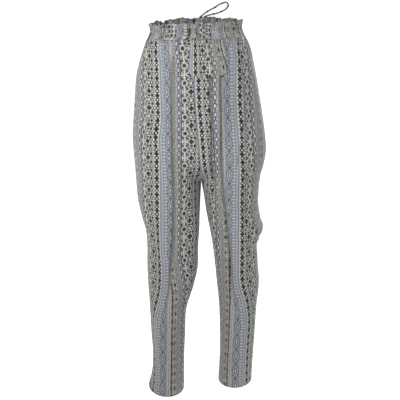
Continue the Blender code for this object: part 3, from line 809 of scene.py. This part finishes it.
# printed shapes: layer, middle across, start lengthwise, times in the repeat, kind, half sizes, and unless 0
# the line's width and the offsets
shapes = (
    ("dark", 1.6, 0, 5, "bar", 1.2, 3), ("dark", 11, 0, 1, "dot", 5.2, 5.2),
    ("dark", 11, 0, 1, "dot", 2.5, 3, 0, 5.2, 12), ("dark", 11, 0, 1, "dot", 2, 2.8, 0, 9.6, 6.2),
    ("dark", 11, 0, 1, "diamond", 2.4, 3.2, 0, 8.6, 14.6), ("dark", 11, 0, 1, "dot", 1.9, 2.2, 0, 4, 18.8),
    ("dark", 11, 22.25, 1, "bar", 1.3, 1.7, 0, 9.2), ("pale", 11, 0, 1, "ring", 6.3, 6.3, 1.1),
    ("pale", 11, 22.25, 1, "bar", 1.1, 12), ("pale", 11, 22.25, 1, "bar", 2.6, 0.9, 0, 5.4, 2),
    ("dark", 27.5, 22.25, 1, "diamond", 6.4, 9.2), ("dark", 27.5, 22.25, 1, "dot", 4.6, 5.2),
    ("dark", 27.5, 0, 1, "ring", 4.8, 5.4, 1.7), ("dark", 27.5, 0, 1, "dot", 2.6, 2.4, 0, 1.5, 10.5),
    ("pale", 27.5, 0, 1, "dot", 2.6, 3.4), ("dark", 36.5, 0, 2, "dot", 4, 4.4),
    ("dark", 36.5, 11.12, 2, "diamond", 4, 5.6), ("pale", 36.5, 0, 2, "dot", 2, 2.2),
    ("dark", 42.6, 0, 4, "dot", 2.9, 4.2), ("pale", 42.6, 0, 4, "dot", 1.8, 2.7),
    ("dark", 52, 0, 2, "dot", 5.2, 5.4), ("dark", 52, 11.12, 2, "diamond", 6.2, 7.4),
    ("pale", 52, 0, 2, "dot", 2.3, 2.4), ("pale", 52, 5.56, 4, "dot", 1.4, 2, 0, 6),
    ("dark", 62.4, 0, 5, "dot", 0.9, 2.6), ("dark", 67.5, 4.45, 5, "bar", 1.7, 0.6),
    ("dark", 70.3, 0, 5, "bar", 0.9, 4.5), ("pale", 74.6, 0, 5, "bar", 3.8, 1.5),
    ("pale", 88, 22.25, 1, "dot", 1.4, 6.4), ("dark", 88, 22.25, 1, "ring", 3.1, 8.4, 1),
    ("pale", 88, 22.25, 1, "ring", 6.2, 12, 0.8), ("dark", 88, 22.25, 1, "ring", 8.8, 15.6, 1.3),
    ("dark", 88, 0, 1, "frame", 5, 5.6, 1.2), ("dark", 88, 0, 1, "ring", 2, 2.1, 1.5),
    ("pale", 88, 0, 1, "frame", 7.6, 8.6, 0.9), ("pale", 105.4, 0, 6, "frame", 5.8, 4.6, 1.3),
    ("dark", 105.4, 0, 6, "dot", 1.5, 1.3), ("dark", 105.4, 3.7083, 6, "dot", 1.4, 1.2, 0, 4.6),
    ("dark", 113.5, 0, 2, "diamond", 2.8, 9.6), ("dark", 113.5, 11.12, 2, "dot", 1.5, 2.2),
    ("dark", 124, 0, 1, "dot", 3.6, 6.4), ("dark", 124, 22.25, 1, "diamond", 3.4, 6.4),
    ("pale", 124, 11.12, 2, "bar", 0.8, 3.6, 0, 3.2), ("pale", 124, 0, 1, "ring", 2.2, 3.2, 1.1),
    ("dark", 136.5, 0, 4, "frame", 5.2, 5.4, 1.2), ("dark", 136.5, 0, 4, "dot", 1.7, 2),
    ("dark", 136.5, 5.56, 4, "dot", 1.2, 1.4, 0, 4.8), ("dark", 148, 11.12, 2, "ring", 3.5, 7.4, 1.7),
    ("pale", 148, 11.12, 2, "dot", 1.9, 4.6), ("dark", 148, 0, 2, "dot", 1.7, 2.2),
)


def newGroup(name, inputs, outputs):
    tree = bpy.data.node_groups.new(name, "ShaderNodeTree")
    for label, kind, value in inputs:
        socket = tree.interface.new_socket(label, in_out="INPUT", socket_type="NodeSocket" + kind)
        if value is not None:
            socket.default_value = value
    for label, kind in outputs:
        tree.interface.new_socket(label, in_out="OUTPUT", socket_type="NodeSocket" + kind)
    return tree, tree.nodes.new("NodeGroupInput").outputs, tree.nodes.new("NodeGroupOutput").inputs


def feed(tree, socket, value):
    if isinstance(value, bpy.types.NodeSocket):
        tree.links.new(value, socket)
    else:
        socket.default_value = value


def feedAll(tree, node, values):
    for label, value in values.items():
        feed(tree, node.inputs[label], value)
    return node.outputs


def addNode(tree, kind, *values, **settings):
    node = tree.nodes.new("ShaderNode" + kind)
    for name, value in settings.items():
        setattr(node, name, value)
    for socket, value in zip(node.inputs, values):
        feed(tree, socket, value)
    return node


def addGroup(tree, group, values):
    return feedAll(tree, addNode(tree, "Group", node_tree=group), values)


def calc(tree, operation, *values, clamp=False):
    return addNode(tree, "Math", *values, operation=operation, use_clamp=clamp).outputs[0]


def turned(tree, operation, *values):
    node = addNode(tree, "VectorMath", *values, operation=operation)
    return node.outputs["Value" if operation == "LENGTH" else "Vector"]


def blend(tree, share, first, second):
    node = addNode(tree, "Mix", share, data_type="RGBA")
    feed(tree, node.inputs[6], first)
    feed(tree, node.inputs[7], second)
    return node.outputs[2]


def noise(tree, vector, scale, detail=2.0):
    return feedAll(tree, addNode(tree, "TexNoise"), {"Vector": vector, "Scale": scale, "Detail": detail})


def ramp(tree, value, stops):
    node = addNode(tree, "ValToRGB", value)
    node.color_ramp.interpolation = "CONSTANT"
    while len(node.color_ramp.elements) < len(stops):
        node.color_ramp.elements.new(0.5)
    for element, (position, colour) in zip(node.color_ramp.elements, stops):
        element.position = position
        element.color = colour
    return node.outputs["Color"]


def split(tree, vector):
    return addNode(tree, "SeparateXYZ", vector).outputs


def shapeMask(tree, p, q, bleed, row):
    kind, halfWidth, halfLength = row[4:7]
    line, a, b = (*row[7:], 0, 0, 0)[:3]
    small = min(halfWidth, halfLength)
    x = calc(tree, "MULTIPLY_ADD", p, 1 / halfWidth, -a / halfWidth)
    y = calc(tree, "MULTIPLY_ADD", q, 1 / halfLength, -b / halfLength)
    if kind in ("dot", "ring"):
        reach = turned(tree, "LENGTH", addNode(tree, "CombineXYZ", x, y).outputs[0])
    else:
        x, y = calc(tree, "ABSOLUTE", x), calc(tree, "ABSOLUTE", y)
        reach = calc(tree, "MAXIMUM" if kind == "bar" else "ADD", x, y)
    away = calc(tree, "MULTIPLY_ADD", reach, small, -small)
    if line:
        away = calc(tree, "SUBTRACT", calc(tree, "ABSOLUTE", away), line / 2)
    return calc(tree, "SUBTRACT", 0.5, calc(tree, "DIVIDE", away, bleed), clamp=True)


wander = ((0.05, (3.0, 5.0, 0.0)), (0.3, (1.2, 1.4, 0.0)))  # noise scale, reach in mm
marks = {"scale": 0.2, "dark": (-4.5, 1.65), "pale": (4.5, -2.2)}  # cell scale, slope and start by layer
tints = {"scale": 0.11, "start": (70.0, 30.0, 0.0), "span": (0.3, 0.3, 0.3), "least": (0.85, 0.85, 0.85)}
faded = (176, 177, 176)


def makePrint():
    tree, given, result = newGroup(
        "bandedPrint",
        (("Cut", "Vector", None), ("Bleed", "Float", 0.5), ("Fade", "Float", 0.0)),
        (("Color", "Color"),),
    )
    place = cut = given["Cut"]
    for scale, reach in wander:
        drift = turned(tree, "SUBTRACT", noise(tree, cut, scale)["Color"], (0.5, 0.5, 0.5))
        place = turned(tree, "MULTIPLY_ADD", drift, reach, place)
    place = split(tree, place)
    u = calc(tree, "WRAP", place["X"], repeatAcross, 0.0)
    share = calc(tree, "DIVIDE", u, repeatAcross)
    starts = [row[0] / repeatAcross for row in bandInks]
    inks = {
        layer: ramp(tree, share, [(start, ink(*row[index])) for start, row in zip(starts, bandInks)])
        for index, layer in enumerate(("ground", "dark", "pale"), 1)
    }
    middles, lengths = {}, {}
    masks = {"dark": 0.0, "pale": 0.0}
    for row in shapes:
        layer, middle, start, times = row[:4]
        if middle not in middles:
            middles[middle] = calc(tree, "ABSOLUTE", calc(tree, "SUBTRACT", u, middle))
        if (start, times) not in lengths:
            fromStart = calc(tree, "SUBTRACT", place["Y"], start)
            lengths[start, times] = calc(tree, "PINGPONG", fromStart, repeatAlong / times / 2)
        mask = shapeMask(tree, middles[middle], lengths[start, times], given["Bleed"], row)
        masks[layer] = calc(tree, "MAXIMUM", masks[layer], mask)
    cells = addNode(tree, "TexVoronoi", voronoi_dimensions="2D")
    cells = feedAll(tree, cells, {"Vector": cut, "Scale": marks["scale"]})
    busy = ramp(tree, share, [(start, (row[4],) * 3 + (1.0,)) for start, row in zip(starts, bandInks)])
    colour = inks["ground"]
    for layer in masks:
        mark = calc(tree, "MULTIPLY_ADD", cells["Distance"], *marks[layer], clamp=True)
        colour = blend(tree, calc(tree, "MULTIPLY", mark, busy), colour, inks[layer])
    for layer, mask in masks.items():
        colour = blend(tree, mask, colour, inks[layer])
    tint = noise(tree, turned(tree, "ADD", cut, tints["start"]), tints["scale"])["Color"]
    tint = turned(tree, "MULTIPLY_ADD", tint, tints["span"], tints["least"])
    colour = turned(tree, "MULTIPLY", colour, tint)
    colour = blend(tree, given["Fade"], colour, ink(*faded))
    tree.links.new(colour, result["Color"])
    return tree


weaveSet = {
    "slubs": ((1.0, 0.12, 1.0), 0.55), "bars": ((0.1, 1.0, 1.0), 0.5), "soft": 0.03, "detail": 3.0,
    "crossHeight": 0.3, "threadShade": 0.2, "softShade": 0.1, "leastShade": 0.75, "roughness": (0.12, 0.76),
}


def makeWeave():
    # fine plain weave with slubs: place in mm
    tree, given, result = newGroup(
        "plainWeave",
        (("Cut", "Vector", None), ("Thread", "Float", 0.45)),
        (("Height", "Float"), ("Shade", "Float"), ("Roughness", "Float")),
    )
    place = split(tree, given["Cut"])
    turns = calc(tree, "DIVIDE", math.pi, given["Thread"])
    warp, weft = (calc(tree, "SINE", calc(tree, "MULTIPLY", place[axis], turns)) for axis in ("X", "Y"))
    cross = calc(tree, "MULTIPLY", warp, weft)
    uneven = []
    for stretch, scale in (weaveSet["slubs"], weaveSet["bars"]):
        stretched = turned(tree, "MULTIPLY", given["Cut"], stretch)
        uneven.append(noise(tree, stretched, scale, weaveSet["detail"])[0])
    threads = calc(tree, "ADD", *uneven)
    tree.links.new(calc(tree, "MULTIPLY_ADD", cross, weaveSet["crossHeight"], threads), result["Height"])
    soft = noise(tree, given["Cut"], weaveSet["soft"], weaveSet["detail"])[0]
    shade = calc(tree, "MULTIPLY_ADD", threads, weaveSet["threadShade"], weaveSet["leastShade"])
    tree.links.new(calc(tree, "MULTIPLY_ADD", soft, weaveSet["softShade"], shade), result["Shade"])
    tree.links.new(calc(tree, "MULTIPLY_ADD", threads, *weaveSet["roughness"]), result["Roughness"])
    return tree


stitchSet = {"pitch": 3.0, "halfWidth": 0.35, "soft": 1.1, "gap": 0.25, "gapStart": 1.2, "share": 0.6}


def makeStitches():
    # one row of stitches at a set distance from an edge: along and distance in mm
    tree, given, result = newGroup(
        "stitchRow",
        (("Sew", "Vector", None), ("Row", "Float", 20.0), ("Pitch", "Float", stitchSet["pitch"])),
        (("Mask", "Float"),),
    )
    place = split(tree, given["Sew"])
    away = calc(tree, "ABSOLUTE", calc(tree, "SUBTRACT", place["Y"], given["Row"]))
    away = calc(tree, "DIVIDE", away, stitchSet["halfWidth"])
    line = calc(tree, "SUBTRACT", stitchSet["soft"], away, clamp=True)
    step = calc(tree, "PINGPONG", place["X"], calc(tree, "MULTIPLY", given["Pitch"], 0.5))
    step = calc(tree, "DIVIDE", step, stitchSet["gap"])
    dash = calc(tree, "SUBTRACT", step, stitchSet["gapStart"], clamp=True)
    tree.links.new(calc(tree, "MULTIPLY", line, dash), result["Mask"])
    return tree


clothLooks = {  # stitch rows in mm from the edge, how faded the print is, sheen
    "frontCloth": ((20.0,), 0.0, 0.12), "backCloth": ((20.0,), 0.0, 0.12),
    "bandCloth": ((1.8, 11.8, 23.6), 0.05, 0.12), "placketCloth": ((3.5,), 0.0, 0.12),
    "cordCloth": ((0.7,), 0.1, 0.15),
}
clothSet = {
    "bleed": 0.55, "thread": 0.45, "yarn": (196, 196, 192), "relief": 0.35, "reliefDepth": 0.12,
    "specular": 0.3,
}


def makeCloth(name, groups):
    stitchRows, fade, sheen = clothLooks[name]
    cloth = bpy.data.materials.new(name)
    cloth.use_nodes = True
    tree = cloth.node_tree
    cut, sew = (addNode(tree, "UVMap", uv_map=label).outputs[0] for label in ("cut", "sew"))
    printed = addGroup(tree, groups["print"], {"Cut": cut, "Bleed": clothSet["bleed"], "Fade": fade})
    weave = addGroup(tree, groups["weave"], {"Cut": cut, "Thread": clothSet["thread"]})
    stitches = 0.0
    for row in stitchRows:
        sewn = addGroup(tree, groups["stitch"], {"Sew": sew, "Row": row, "Pitch": stitchSet["pitch"]})
        stitches = calc(tree, "MAXIMUM", stitches, sewn["Mask"])
    yarnShare = calc(tree, "MULTIPLY", stitches, stitchSet["share"])
    colour = blend(tree, yarnShare, printed["Color"], ink(*clothSet["yarn"]))
    relief = feedAll(tree, addNode(tree, "Bump"), {
        "Strength": clothSet["relief"], "Distance": clothSet["reliefDepth"] * mm,
        "Height": calc(tree, "ADD", weave["Height"], stitches),
    })
    feedAll(tree, tree.nodes["Principled BSDF"], {
        "Base Color": turned(tree, "MULTIPLY", colour, weave["Shade"]), "Roughness": weave["Roughness"],
        "Normal": relief["Normal"], "Sheen Weight": sheen, "Specular IOR Level": clothSet["specular"],
    })
    return cloth


floorSet = {
    "height": -1.06, "radius": 30.0, "segments": 96,
    "paint": {
        "Base Color": (0.9, 0.9, 0.9, 1.0), "Roughness": 0.9,
        "Emission Color": (1.0, 1.0, 1.0, 1.0), "Emission Strength": 0.45,
    },
}


def makeFloor():
    shell = bmesh.new()
    segments, radius = floorSet["segments"], floorSet["radius"]
    bmesh.ops.create_circle(shell, cap_ends=True, segments=segments, radius=radius)
    mesh = bpy.data.meshes.new("floor")
    shell.to_mesh(mesh)
    shell.free()
    floor = bpy.data.objects.new("floor", mesh)
    floor.location.z = floorSet["height"]
    link(floor)
    paint = bpy.data.materials.new("floorPaint")
    paint.use_nodes = True
    feedAll(paint.node_tree, paint.node_tree.nodes["Principled BSDF"], floorSet["paint"])
    mesh.materials.append(paint)


# the scene, piece by piece

makeCamera()
makeLights()
makeFloor()
bpy.context.scene.view_settings.view_transform = "Standard"
groups = {"print": makePrint(), "weave": makeWeave(), "stitch": makeStitches()}
cloths = {name: makeCloth(name, groups) for name in clothLooks}
print("materials made")

panelFacts = {  # name, flat size, flat area
    ("right", "front"): ("frontRight", (0.37, 1.02), 0.263),
    ("left", "front"): ("frontLeft", (0.39, 1.01), 0.276),
    ("right", "back"): ("backRight", (0.36, 1.01), 0.259),
    ("left", "back"): ("backLeft", (0.35, 1.01), 0.261),
}
legCentre = 80 * mm


def insideLeg(leg):
    # gives a point inside the leg at a place's height, nearer the middle at the waist
    middle = {"right": -legCentre, "left": legCentre}[leg]
    return lambda place: (middle * min(1.0, max(0.0, -place.z * 3)), 0.0, place.z)


def insideWaist(place):
    return 0.001, 0.0, place.z


for (leg, face), (name, flat, area) in panelFacts.items():
    panel = addSheet(name, panelGrid(leg, face), insideLeg(leg), panelSet["thickness"])
    declare(panel, f"{face}_{leg}_leg", cloths[face + "Cloth"])
print("legs made")

waistband = addSheet("waistbandStrip", bandGrid(), insideWaist, band["thickness"], closed=True)
declare(waistband, "waistband", cloths["bandCloth"])
print("waistband made")

placket = addSheet("placket", placketGrid(), insideWaist, placketSet["thickness"])
declare(placket, "front_placket", cloths["placketCloth"])
print("placket made")

*cordPoints, route, cordLength = cordGrid()
drawstring = gridObject("drawstringLoop", cordPoints, closed=True)
reshape(drawstring.data, closeEnds)
declare(drawstring, "drawstring", cloths["cordCloth"])
print("drawstring made")
